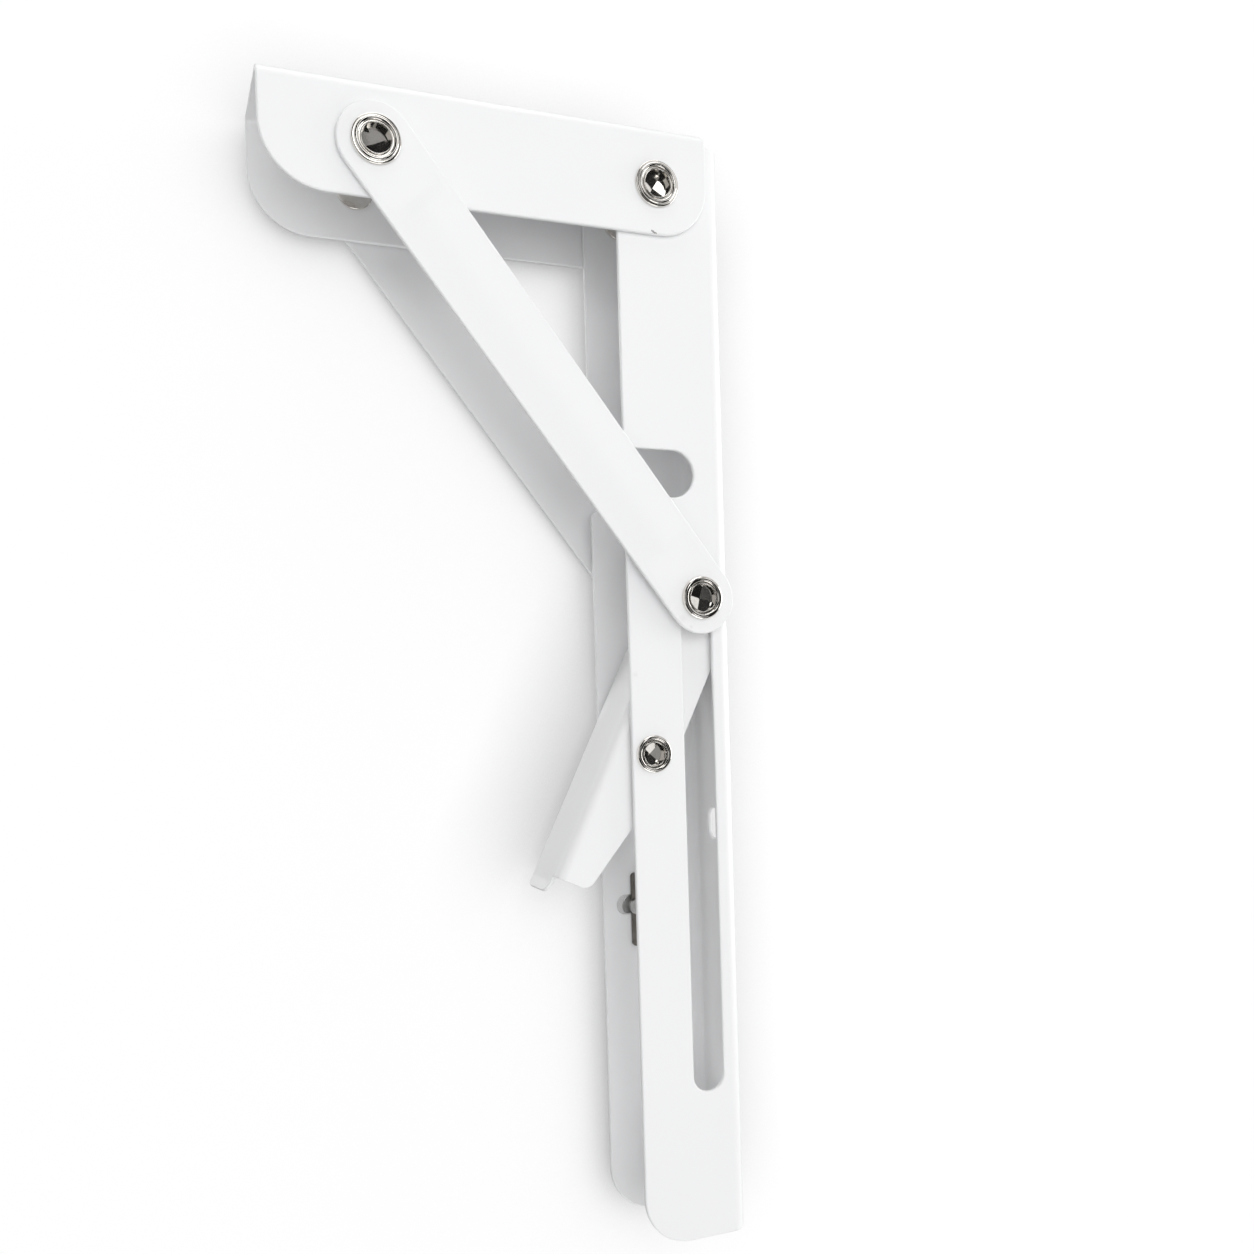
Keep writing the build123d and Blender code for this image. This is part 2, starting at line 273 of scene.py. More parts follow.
spring = {
    "dark": (0.16, 0.15, 0.135, 1.0),
    "rubbed": (0.30, 0.29, 0.275, 1.0),
    "grainWidth": 0.25 * mm,
    "grainRun": 6.0 * mm,
    "roughness": 0.34,
}


def springMaterial():
    material, board = newMaterial("springSteel")
    place = board.add("ShaderNodeTexCoord", out=3)
    drawn = board.add("ShaderNodeMapping", {}, {
        "Vector": place,
        "Scale": (1 / spring["grainWidth"], 1 / spring["grainWidth"], 1 / spring["grainRun"])})
    grain = board.add("ShaderNodeTexNoise", {}, {"Vector": drawn, "Scale": 1.0, "Detail": 3.0})
    patch = board.add("ShaderNodeTexNoise", {}, {"Vector": place, "Scale": 250.0, "Detail": 3.0})
    bare = board.add("ShaderNodeMapRange", {}, {0: patch, 1: 0.50, 2: 0.72, 3: 0.0, 4: 0.7})
    colour = board.add("ShaderNodeMix", {"data_type": "RGBA"}, {
        0: bare * grain, 6: spring["dark"], 7: spring["rubbed"]}, out=2)
    rough = spring["roughness"] + (grain - 0.5) * 0.25
    bump = board.add("ShaderNodeBump", {}, {
        "Strength": 0.6, "Distance": 0.004 * mm, "Height": grain})
    shader = board.add("ShaderNodeBsdfPrincipled", {}, {
        "Base Color": colour, "Metallic": 1.0, "Roughness": rough, "Normal": bump})
    finishMaterial(board, shader)
    return material


zinc = {
    "light": (0.62, 0.62, 0.61, 1.0),
    "grey": (0.42, 0.42, 0.415, 1.0),
    "spangle": 0.9 * mm,
    "roughness": 0.42,
}


def zincMaterial():
    material, board = newMaterial("zincPlate")
    place = board.add("ShaderNodeTexCoord", out=3)
    flakes = board.add("ShaderNodeTexVoronoi", {"feature": "F1"}, {
        "Vector": place, "Scale": 1 / zinc["spangle"]}, out=1)
    flake = board.add("ShaderNodeSeparateColor", {}, {0: flakes})
    cloud = board.add("ShaderNodeTexNoise", {}, {"Vector": place, "Scale": 900.0, "Detail": 3.0})
    colour = board.add("ShaderNodeMix", {"data_type": "RGBA"}, {
        0: flake * 0.5 + cloud * 0.5, 6: zinc["grey"], 7: zinc["light"]}, out=2)
    rough = zinc["roughness"] + (cloud - 0.5) * 0.3
    bump = board.add("ShaderNodeBump", {}, {
        "Strength": 0.5, "Distance": 0.01 * mm, "Height": cloud})
    shader = board.add("ShaderNodeBsdfPrincipled", {}, {
        "Base Color": colour, "Metallic": 0.85, "Roughness": rough, "Normal": bump})
    finishMaterial(board, shader)
    return material


print("materials")
rivetNickel = nickelMaterial("rivetNickel", True, 0.0)
washerNickel = nickelMaterial("washerNickel", False, 0.14)
springSteel = springMaterial()
zincPlate = zincMaterial()

sheetPieces = ["wall_rail", "shelf_arm", "near_strut", "far_strut", "release_lever"]
finishes = {name: paintMaterial(name + "_paint", paintMarks.get(name, [])) for name in sheetPieces}
for side in ("near", "far"):
    finishes[side + "_slide_pin"] = washerNickel
    finishes[side + "_slide_washer"] = washerNickel
    finishes[side + "_lever_spacer"] = washerNickel
finishes["spring_leaf"] = springSteel
finishes["leaf_stud"] = zincPlate
for name, material in finishes.items():
    for holder in nodes[name].material_slots:
        holder.material = material


# --- sheet pieces: a flat blank with holes and soft cut edges, then folded ---

mesher = {
    "arcStep": 5.0,        # degrees of a rounded corner for each point
    "edgeSteps": 4,        # rings over each softened cut edge
    "bendSteps": 10,       # fold lines over each bend
    "apart": 1e-4,         # mm, points nearer than this are one
}


def roundedLoop(corners):
    # Corners are (across, along, radius). The metal lies on the loop's left.
    points = []
    for step, (across, along, radius) in enumerate(corners):
        here = Vector((across, along))
        if radius == 0:
            points.append(here)
            continue
        before = (Vector(corners[step - 1][:2]) - here).normalized()
        after = (Vector(corners[(step + 1) % len(corners)][:2]) - here).normalized()
        half = before.angle(after) / 2
        middle = here + (before + after).normalized() * (radius / math.sin(half))
        first = here + before * (radius / math.tan(half)) - middle
        way = 1 if first.x * (here - middle).y - first.y * (here - middle).x > 0 else -1
        turn = math.pi - 2 * half
        count = max(3, math.ceil(turn / math.radians(mesher["arcStep"])))
        start = math.atan2(first.y, first.x)
        for part in range(count + 1):
            angle = start + way * turn * part / count
            points.append(middle + Vector((math.cos(angle), math.sin(angle))) * radius)
    return [point for step, point in enumerate(points) if (point - points[step - 1]).length > mesher["apart"]]


def holeLoop(across, along, width, length):
    # A round hole or slot, turned the other way so that the metal is again on the left.
    reach, run, soft = width / 2, length / 2, min(width, length) / 2
    return roundedLoop([
        (across - reach, along - run, soft), (across - reach, along + run, soft),
        (across + reach, along + run, soft), (across + reach, along - run, soft)])


def cutLoop(loop, cuts):
    # Adds a point wherever the loop crosses a fold line (axis, value).
    for axis, value in cuts:
        made = []
        for step, here in enumerate(loop):
            made.append(here)
            there = loop[(step + 1) % len(loop)]
            low, high = sorted((here[axis], there[axis]))
            if low + 1e-5 < value < high - 1e-5:
                made.append(here.lerp(there, (value - here[axis]) / (there[axis] - here[axis])))
        loop = made
    return loop


def insetLoop(loop, distance):
    moved, sides = [], []
    for step, here in enumerate(loop):
        before = (here - loop[step - 1]).normalized()
        after = (loop[(step + 1) % len(loop)] - here).normalized()
        side = Vector((-before.y - after.y, before.x + after.x)).normalized()
        sides.append(-side)
        moved.append(here + side * (distance / max(0.5, side.dot(Vector((-after.y, after.x))))))
    return moved, sides


def isInside(point, loop):
    inside = False
    for step, here in enumerate(loop):
        before = loop[step - 1]
        if (here.y > point.y) != (before.y > point.y):
            if point.x < here.x + (point.y - here.y) / (before.y - here.y) * (before.x - here.x):
                inside = not inside
    return inside


def triangleArea(corners):
    first, second = corners[1] - corners[0], corners[2] - corners[0]
    return (first.x * second.y - first.y * second.x) / 2


def crosses(points, run, edge):
    first, last = (points[i] for i in run)
    here, there = (points[i] for i in edge)
    if set(run) & set(edge):
        return False
    across = triangleArea((first, last, here)) * triangleArea((first, last, there))
    along = triangleArea((here, there, first)) * triangleArea((here, there, last))
    return across < 0 and along < 0


def sheetPiece(name, body, loops, sheet, soft, cuts, lines, fold):
    # loops: outline first, then holes. lines: runs of inner points to join.
    # fold takes a blank's point and normal (across, along, height) to the frame.
    loops = [cutLoop(loop, cuts) for loop in loops]
    # Each ring over the edge: inset, height, and the normal's outward and upward parts.
    steps = mesher["edgeSteps"]
    angles = [math.radians(90 * part / steps) for part in range(steps + 1)]
    rings = [
        (soft * (1 - math.sin(angle)), soft * (math.cos(angle) - 1), math.sin(angle), math.cos(angle))
        for angle in angles]
    rings += [(inset, -sheet - height, out, -face) for inset, height, out, face in reversed(rings)]
    places, normals, faces, starts = [], [], [], []
    for inset, height, out, face in rings:
        starts.append(len(places))
        for loop in loops:
            moved, sides = insetLoop(loop, inset)
            places += [(point.x, point.y, height) for point in moved]
            normals += [(side.x * out, side.y * out, face) for side in sides]
    count = starts[1]
    flat = [Vector(place[:2]) for place in places[:count]]
    offset = 0
    edges, borders = [], []
    for loop in loops:
        for step in range(len(loop)):
            here, there = offset + step, offset + (step + 1) % len(loop)
            edges.append((here, there))
            for low, high in zip(starts, starts[1:]):
                faces.append((low + here, low + there, high + there, high + here))
        borders.append(flat[offset:offset + len(loop)])
        offset += len(loop)
    # Fold lines run from edge to edge; one that would cross the outline is left out.
    plain = [point for loop in loops for point in loop]
    rim = edges[:]
    for axis, value in cuts:
        met = [i for i in range(count) if abs(plain[i][axis] - value) < mesher["apart"]]
        met.sort(key=lambda i: plain[i][1 - axis])
        edges += [run for run in zip(met, met[1:]) if not any(crosses(flat, run, edge) for edge in rim)]
    inner = []
    for line in lines:
        for step, point in enumerate(line):
            if step:
                edges.append((count + len(inner) - 1, count + len(inner)))
            inner.append(Vector(point))
    made = delaunay_2d_cdt(flat + inner, edges, [], 0, 1e-6)
    inside = [i for i, origins in enumerate(made[3]) if not origins or origins[0] >= count]
    upper = {i: len(places) + step for step, i in enumerate(inside)}
    lower = {i: len(places) + len(inside) + step for step, i in enumerate(inside)}
    for i, origins in enumerate(made[3]):
        if i not in upper:
            upper[i] = origins[0]
            lower[i] = starts[-1] + origins[0]
    for height, face in ((0.0, 1.0), (-sheet, -1.0)):
        places += [(made[0][i].x, made[0][i].y, height) for i in inside]
        normals += [(0.0, 0.0, face)] * len(inside)
    # Triangles joined without crossing a cut edge are kept or left together.
    walls = {
        frozenset(pair) for pair, origins in zip(made[1], made[4]) if any(origin < count for origin in origins)}
    sides = [[frozenset((corners[step], corners[step - 1])) for step in range(3)] for corners in made[2]]
    sharing = {}
    for step, keys in enumerate(sides):
        for key in keys:
            sharing.setdefault(key, []).append(step)
    waiting = set(range(len(made[2])))
    while waiting:
        patch = [waiting.pop()]
        for step in patch:
            for key in sides[step]:
                if key not in walls:
                    fresh = [other for other in sharing[key] if other in waiting]
                    waiting.difference_update(fresh)
                    patch += fresh
        widest = max(patch, key=lambda step: abs(triangleArea([made[0][i] for i in made[2][step]])))
        middle = sum((made[0][i] for i in made[2][widest]), Vector((0, 0))) / 3
        if not isInside(middle, borders[0]) or any(isInside(middle, border) for border in borders[1:]):
            continue
        for step in patch:
            faces.append(tuple(upper[i] for i in made[2][step]))
            faces.append(tuple(lower[i] for i in reversed(made[2][step])))
    shaped = [fold(Vector(place), Vector(normal)) for place, normal in zip(places, normals)]
    mesh = bpy.data.meshes.new(name)
    mesh.from_pydata([place * mm for place, normal in shaped], [], faces)
    work = bmesh.new()
    work.from_mesh(mesh)
    bmesh.ops.recalc_face_normals(work, faces=work.faces)
    for face in work.faces:
        face.smooth = True
    work.to_mesh(mesh)
    work.free()
    mesh.normals_split_custom_set_from_vertices([normal.normalized() for place, normal in shaped])
    mesh.materials.append(finishes[name])
    piece = bpy.data.objects.new(name + "_sheet", mesh)
    bpy.context.scene.collection.objects.link(piece)
    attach(piece, body)
    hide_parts(name)
    print(" ", name, len(mesh.polygons), "faces")
    return piece


def channelFold(half, bend, place):
    # Folds both flanges down from the web; place sets (across, deep, along) in the frame.
    flat = half - bend
    quarter = bend * math.pi / 2

    def fold(point, normal):
        side = 1 if point.x >= 0 else -1
        past = abs(point.x) - flat
        angle = min(max(past / bend, 0.0), math.pi / 2)
        swing = bend + point.z
        across = min(abs(point.x), flat) + swing * math.sin(angle)
        deep = bend - swing * math.cos(angle) + max(past - quarter, 0.0)
        own = normal.x * side
        tilt = Vector((
            side * (own * math.cos(angle) + normal.z * math.sin(angle)),
            own * math.sin(angle) - normal.z * math.cos(angle), normal.y))
        return place(Vector((side * across, deep, point.y)), tilt)

    cuts = []
    for side in (-1, 1):
        cuts += [
            (0, side * (flat + quarter * part / mesher["bendSteps"])) for part in range(mesher["bendSteps"] + 1)]
    # Last, how far out in the blank a point of the flange lies, less its depth.
    return fold, cuts, flat + quarter - bend


def centre(node):
    low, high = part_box(node)
    return (low + high) / 2 / mm


print("sheet pieces")
hinge = centre("near_hinge_rivet")
pin = centre("near_strut_rivet")
slide = centre("near_slide_head")
pivot = centre("near_lever_rivet")
stud = centre("leaf_stud")

rail = {
    "sheet": 2.0, "bend": 6.5, "soft": 0.7, "topCorner": 14.0, "footCorner": 19.0,
    "notchBelowPin": 1.6, "notchHalf": 8.9, "notchDepth": 28.8, "notchMouth": 3.0,
    "slotHalf": 6.4, "slotRunOn": 39.0, "hingeHole": 12.0, "leverHole": 10.0,
    "wallHoleGap": 200.0, "wallHoleWidth": 8.5, "wallHoleHeight": 12.5,
    "footHoleRise": 29.0, "footHole": 8.5,
    "studHoleLength": 13.0, "studHoleHeight": 7.8, "studHoleLift": 1.0, "studHoleIn": 12.6,
}


def makeRail():
    low, high = (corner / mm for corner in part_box("wall_rail"))
    fold, cuts, start = channelFold(high.y, rail["bend"], lambda place, normal: (
        Vector((high.x - place.y, place.x, place.z)), Vector((-normal.y, normal.x, normal.z))))
    tip = start + high.x - low.x
    reach = (pin - slide).length
    drop = hinge.x - pin.x
    foldedPin = hinge.z - drop
    notch = foldedPin - rail["notchBelowPin"]
    notchLow, notchHigh = notch - rail["notchHalf"], notch + rail["notchHalf"]
    notchEnd = tip - rail["notchDepth"]
    mouth, inner = rail["notchMouth"], rail["notchHalf"]
    loops = [roundedLoop([
        (-tip, low.z, rail["footCorner"]), (tip, low.z, rail["footCorner"]),
        (tip, notchLow, mouth), (notchEnd, notchLow, inner),
        (notchEnd, notchHigh, inner), (tip, notchHigh, mouth),
        (tip, high.z, rail["topCorner"]), (-tip, high.z, rail["topCorner"]),
        (-tip, notchHigh, mouth), (-notchEnd, notchHigh, inner),
        (-notchEnd, notchLow, inner), (-tip, notchLow, mouth)])]
    # The slot runs from the open slide down past where it stands when folded.
    foldedSlide = foldedPin - math.sqrt(reach ** 2 - (slide.x - hinge.x) ** 2)
    slotFoot = foldedSlide - rail["slotRunOn"] - rail["slotHalf"]
    slotTop = slide.z + rail["slotHalf"]
    for side in (-1, 1):
        loops.append(holeLoop(
            side * (start - slide.x), (slotTop + slotFoot) / 2, 2 * rail["slotHalf"], slotTop - slotFoot))
        loops.append(holeLoop(side * (start - hinge.x), hinge.z, rail["hingeHole"], rail["hingeHole"]))
        loops.append(holeLoop(side * (start - pivot.x), pivot.z, rail["leverHole"], rail["leverHole"]))
    loops.append(holeLoop(
        start - low.x - rail["studHoleIn"], stud.z + rail["studHoleLift"],
        rail["studHoleLength"], rail["studHoleHeight"]))
    for spot in (rail["wallHoleGap"] / 2, -rail["wallHoleGap"] / 2):
        loops.append(holeLoop(0, spot, rail["wallHoleWidth"], rail["wallHoleHeight"]))
    loops.append(holeLoop(0, low.z + rail["footHoleRise"], rail["footHole"], rail["footHole"]))
    return sheetPiece("wall_rail", "rail", loops, rail["sheet"], rail["soft"], cuts, [], fold)


arm = {
    "sheet": 2.0, "bend": 5.0, "soft": 0.7, "frontCorner": 22.0, "rearCorner": 19.0,
    "tongue": 3.2,  # the solid's front tongue, not made here
    "scallop": 5.5, "scallopCorner": 3.5, "scallopHalf": 15.0, "scallopMouth": 0.85,
    "hingeHole": 12.1, "pinHole": 12.0,
    "shelfHoleFirst": 40.5, "shelfHoleGap": 81.0, "shelfHoleWidth": 8.5, "shelfHoleLength": 14.5,
}


def makeArm():
    low, high = (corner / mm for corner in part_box("shelf_arm"))
    front, rear = low.x + arm["tongue"], high.x
    fold, cuts, start = channelFold(high.y, arm["bend"], lambda place, normal: (
        Vector((place.z, place.x, high.z - place.y)), Vector((normal.z, normal.x, -normal.y))))
    tip = start + high.z - low.z
    notch, corner, mouth = arm["scallopHalf"], arm["scallopCorner"], arm["scallopMouth"]
    loops = [roundedLoop([
        (-tip, front, arm["frontCorner"]), (tip, front, arm["frontCorner"]), (tip, rear, arm["rearCorner"]),
        (notch, rear, mouth), (notch, rear - arm["scallop"], corner),
        (-notch, rear - arm["scallop"], corner), (-notch, rear, mouth), (-tip, rear, arm["rearCorner"])])]
    for side in (-1, 1):
        loops.append(holeLoop(side * (start + high.z - hinge.z), hinge.x, arm["hingeHole"], arm["hingeHole"]))
        loops.append(holeLoop(side * (start + high.z - pin.z), pin.x, arm["pinHole"], arm["pinHole"]))
    for step in range(2):
        spot = hinge.x - arm["shelfHoleFirst"] - step * arm["shelfHoleGap"]
        loops.append(holeLoop(0, spot, arm["shelfHoleWidth"], arm["shelfHoleLength"]))
    return sheetPiece("shelf_arm", "arm", loops, arm["sheet"], arm["soft"], cuts, [], fold)


strut = {
    "sheet": 2.0, "width": 27.0, "soft": 0.7, "pinHole": 12.1, "slideHole": 12.0, "outerFace": 23.5,
    "creaseRise": 0.95, "creaseSide": 2.5, "creaseEndGap": 21.5, "creaseRunIn": 6.0,
    "runInSteps": 6, "sideLines": (0.75, 0.45), "ridgeLines": (1.0, 0.75, 0.5, 0.25),
}


def makeStrut(name, side):
    length = (pin - slide).xz.length
    angle = math.atan2(slide.z - pin.z, slide.x - pin.x)
    reach = Vector((math.cos(angle), 0.0, math.sin(angle)))
    cross = Vector((-math.sin(angle), 0.0, math.cos(angle)))
    half, flat = strut["width"] / 2, strut["creaseSide"]
    first, run = strut["creaseEndGap"], strut["creaseRunIn"]
    last = length - first

    def crease(across, along):
        # Height of the shallow fold, and its slopes across and along the bar.
        inward = min(along - first, last - along) / run
        step = min(max(inward, 0.0), 1.0)
        ramp = step * step * (3 - 2 * step)
        rampSlope = 6 * step * (1 - step) / run * (1 if along < length / 2 else -1)
        wide = abs(across)
        if wide > flat:
            form, formSlope = 1 - wide / half, -math.copysign(1 / half, across)
        else:
            form, formSlope = 1 - flat / half / 2 - wide ** 2 / flat / half / 2, -across / flat / half
        rise = strut["creaseRise"]
        return rise * form * ramp, rise * formSlope * ramp, rise * form * rampSlope

    def fold(point, normal):
        lift, slopeAcross, slopeAlong = crease(point.x, point.y)
        spot = pin + reach * point.y + cross * point.x
        spot.y = side * (strut["outerFace"] + point.z + lift)
        tilt = Vector((normal.x - slopeAcross * normal.z, normal.y - slopeAlong * normal.z, normal.z))
        return spot, reach * tilt.y + cross * tilt.x + Vector((0.0, side * tilt.z, 0.0))

    loops = [
        roundedLoop([
            (-half, -half, half), (half, -half, half),
            (half, length + half, half), (-half, length + half, half)]),
        holeLoop(0, 0, strut["pinHole"], strut["pinHole"]),
        holeLoop(0, length, strut["slideHole"], strut["slideHole"])]
    shares = [part / strut["runInSteps"] for part in range(strut["runInSteps"] + 1)]
    stations = [first + run * share for share in shares] + [last - run * share for share in reversed(shares)]
    steps = [-half * share for share in strut["sideLines"]] + [-flat * share for share in strut["ridgeLines"]]
    steps += [0.0] + [-step for step in reversed(steps)]
    lines = [[(step, station) for station in stations] for step in steps]
    return sheetPiece(name, "struts", loops, strut["sheet"], strut["soft"], [], lines, fold)


lever = {
    "sheet": 1.5, "bend": 4.0, "soft": 0.4, "half": 14.8, "front": 15.6, "rear": 10.3,
    "top": 54.0, "foot": 57.0, "topCorner": 7.0, "footRear": -1.9, "footCorner": 5.0,
    "taperStart": 7.0, "taperRound": 20.0, "pivotHole": 10.1, "lean": 26.0,
    "tabNear": 9.6, "tabFar": 13.9, "tabRun": 6.4, "tabCurl": 60.0,
    "tabCorner": 5.5, "tabFarCorner": 5.8, "tabRoot": 0.5,
    "tabLines": 6, "tabLineFirst": 0.6, "tabLineStep": 0.9,
}


def makeLever():
    lean = math.radians(lever["lean"])
    swing = Matrix(((math.cos(lean), 0, math.sin(lean)), (0, 1, 0), (-math.sin(lean), 0, math.cos(lean))))
    middle = Vector((pivot.x, 0.0, pivot.z))
    curl = lever["tabCurl"] - lever["sheet"]

    def place(spot, normal):
        # Below the foot the tab curls outwards about a level line in front of the web.
        turn = max(-lever["foot"] - spot.z, 0.0) / curl
        reach = curl + spot.y
        if turn > 0:
            local = Vector((
                -lever["front"] - curl + reach * math.cos(turn), spot.x, -lever["foot"] - reach * math.sin(turn)))
            tilt = Vector((
                normal.y * math.cos(turn) + normal.z * math.sin(turn), normal.x,
                normal.z * math.cos(turn) - normal.y * math.sin(turn)))
        else:
            local = Vector((spot.y - lever["front"], spot.x, spot.z))
            tilt = Vector((normal.y, normal.x, normal.z))
        return middle + swing @ local, swing @ tilt

    fold, cuts, start = channelFold(lever["half"], lever["bend"], place)
    start += lever["front"]
    rear, foot = start + lever["rear"], start + lever["footRear"]
    near, far, root = lever["tabNear"], lever["tabFar"], lever["tabRoot"]
    end = -lever["foot"] - lever["tabRun"]
    loops = [roundedLoop([
        (-near, end, lever["tabCorner"]), (far, end, lever["tabFarCorner"]), (far, -lever["foot"], root),
        (foot, -lever["foot"], lever["footCorner"]), (rear, -lever["taperStart"], lever["taperRound"]),
        (rear, lever["top"], lever["topCorner"]), (-rear, lever["top"], lever["topCorner"]),
        (-rear, -lever["taperStart"], lever["taperRound"]), (-foot, -lever["foot"], lever["footCorner"]),
        (-near, -lever["foot"], root)])]
    for side in (-1, 1):
        loops.append(holeLoop(side * start, 0, lever["pivotHole"], lever["pivotHole"]))
    cuts += [
        (1, -lever["foot"] - lever["tabLineFirst"] - part * lever["tabLineStep"])
        for part in range(lever["tabLines"])]
    return sheetPiece("release_lever", "lever", loops, lever["sheet"], lever["soft"], cuts, [], fold)


makeRail()
makeArm()
makeStrut("near_strut", -1)
makeStrut("far_strut", 1)
makeLever()


# --- rivets: one tree turns the half section and sets a pair on the bracket ---

rivetForm = {
    "flangeStep": 0.9 * mm,
    "flangeHeight": 1.1 * mm,
    "flangeRound": 0.5 * mm,
    "ringRound": 1.05 * mm,
    "lipWidth": 0.6 * mm,
    "lipDrop": 0.35 * mm,
    "lipRound": 0.27 * mm,
    "grooveWidth": 0.3 * mm,
    "grooveDepth": 0.5 * mm,
    "punchDepth": 0.85 * mm,
    "tailRound": 0.35 * mm,
}
turnSteps = 96
roundSteps = 5


def rivetTree():
    tree = bpy.data.node_groups.new("rivetPair", "GeometryNodeTree")
    board = Board(tree)
    names = [
        "headRadius", "headHeight", "flangeStep", "flangeHeight", "flangeRound", "ringRound",
        "lipWidth", "lipDrop", "lipRound", "grooveWidth", "grooveDepth", "punchDepth",
        "boreRadius", "boreDepth", "shankRadius", "grip", "tailRadius", "tailHeight", "tailRound",
        "seatReach", "centreX", "centreZ", "nearTurn", "farTurn",
    ]
    for name in names:
        tree.interface.new_socket(name, in_out="INPUT", socket_type="NodeSocketFloat")
    tree.interface.new_socket("finish", in_out="INPUT", socket_type="NodeSocketMaterial")
    tree.interface.new_socket("Geometry", in_out="OUTPUT", socket_type="NodeSocketGeometry")
    group = tree.nodes.new("NodeGroupInput")
    size = {name: Wire(board, group.outputs[name]) for name in names}

    ringOuter = size["headRadius"] - size["flangeStep"]
    ringInner = size["boreRadius"] + size["lipWidth"] + size["grooveWidth"]
    lipOuter = size["boreRadius"] + size["lipWidth"]
    lipTop = size["headHeight"] - size["lipDrop"]
    grooveLow = lipTop - size["grooveDepth"]
    floorZ = size["headHeight"] - size["boreDepth"]
    tailTop = 0.0 - size["grip"]
    tailEnd = tailTop - size["tailHeight"]
    # Half section from the bore's floor, over the lip and ring, to the tail's middle.
    corners = [
        (0.0, floorZ, 0.0),
        (size["boreRadius"], floorZ, 0.0),
        (size["boreRadius"], lipTop, size["lipRound"]),
        (lipOuter, lipTop, size["lipRound"]),
        (lipOuter, grooveLow, 0.0),
        (ringInner, grooveLow, 0.0),
        (ringInner, size["headHeight"], size["ringRound"]),
        (ringOuter, size["headHeight"], size["ringRound"]),
        (ringOuter, size["flangeHeight"], 0.0),
        (size["headRadius"], size["flangeHeight"], size["flangeRound"]),
        (size["headRadius"], 0.0, 0.0),
        (size["shankRadius"], 0.0, 0.0),
        (size["shankRadius"], tailTop, 0.0),
        (size["tailRadius"], tailTop, 0.0),
        (size["tailRadius"], tailEnd, size["tailRound"]),
        (0.0, tailEnd, 0.0),
    ]
    index = board.add("GeometryNodeInputIndex")
    places = {"Index": index}
    rounds = {"Index": index}
    for step, (reach, height, roundOff) in enumerate(corners):
        places[step + 1] = board.add("ShaderNodeCombineXYZ", {}, {0: reach, 1: 0.0, 2: height})
        rounds[step + 1] = roundOff
    place = board.add("GeometryNodeIndexSwitch", {"data_type": "VECTOR", "items": len(corners)}, places)
    roundOff = board.add("GeometryNodeIndexSwitch", {"data_type": "FLOAT", "items": len(corners)}, rounds)
    line = board.add("GeometryNodeMeshLine", {}, {"Count": len(corners)})
    line = board.add("GeometryNodeSetPosition", {}, {"Geometry": line, "Position": place})
    curve = board.add("GeometryNodeMeshToCurve", {}, {"Mesh": line})
    curve = board.add("GeometryNodeFilletCurve", {"mode": "POLY"}, {
        "Curve": curve, "Count": roundSteps, "Radius": roundOff, "Limit Radius": True})

    # Turn the section: a grid with one column for each point of the section.
    count = board.add("GeometryNodeAttributeDomainSize", {"component": "CURVE"}, {"Geometry": curve})
    grid = board.add("GeometryNodeMeshGrid", {}, {
        "Size X": count - 1.0, "Size Y": float(turnSteps), "Vertices X": count, "Vertices Y": turnSteps + 1})
    where = board.add("GeometryNodeInputPosition")
    column = board.add("ShaderNodeSeparateXYZ", {}, {0: where})
    row = Wire(board, column.socket.node.outputs[1])
    column = board.add("ShaderNodeMath", {"operation": "ROUND"}, {0: column + (count - 1.0) * 0.5})
    angle = (row + turnSteps * 0.5) * (2 * math.pi / turnSteps)
    section = board.add("GeometryNodeSampleIndex", {"data_type": "FLOAT_VECTOR", "domain": "POINT"}, {
        "Geometry": curve, "Value": where, "Index": column})
    reach = board.add("ShaderNodeSeparateXYZ", {}, {0: section})
    height = Wire(board, reach.socket.node.outputs[2])
    keep = {"data_type": "FLOAT", "domain": "POINT"}
    grid = board.add("GeometryNodeStoreNamedAttribute", keep, {
        "Geometry": grid, "Name": "turnRadius", "Value": reach})
    grid = board.add("GeometryNodeStoreNamedAttribute", keep, {
        "Geometry": grid, "Name": "turnHeight", "Value": height})
    grid = board.add("GeometryNodeStoreNamedAttribute", keep, {
        "Geometry": grid, "Name": "turnAngle", "Value": angle})
    reach = board.add("GeometryNodeInputNamedAttribute", {"data_type": "FLOAT"}, {"Name": "turnRadius"})
    height = board.add("GeometryNodeInputNamedAttribute", {"data_type": "FLOAT"}, {"Name": "turnHeight"})
    angle = board.add("GeometryNodeInputNamedAttribute", {"data_type": "FLOAT"}, {"Name": "turnAngle"})
    across = reach * board.add("ShaderNodeMath", {"operation": "COSINE"}, {0: angle})
    along = reach * board.add("ShaderNodeMath", {"operation": "SINE"}, {0: angle})

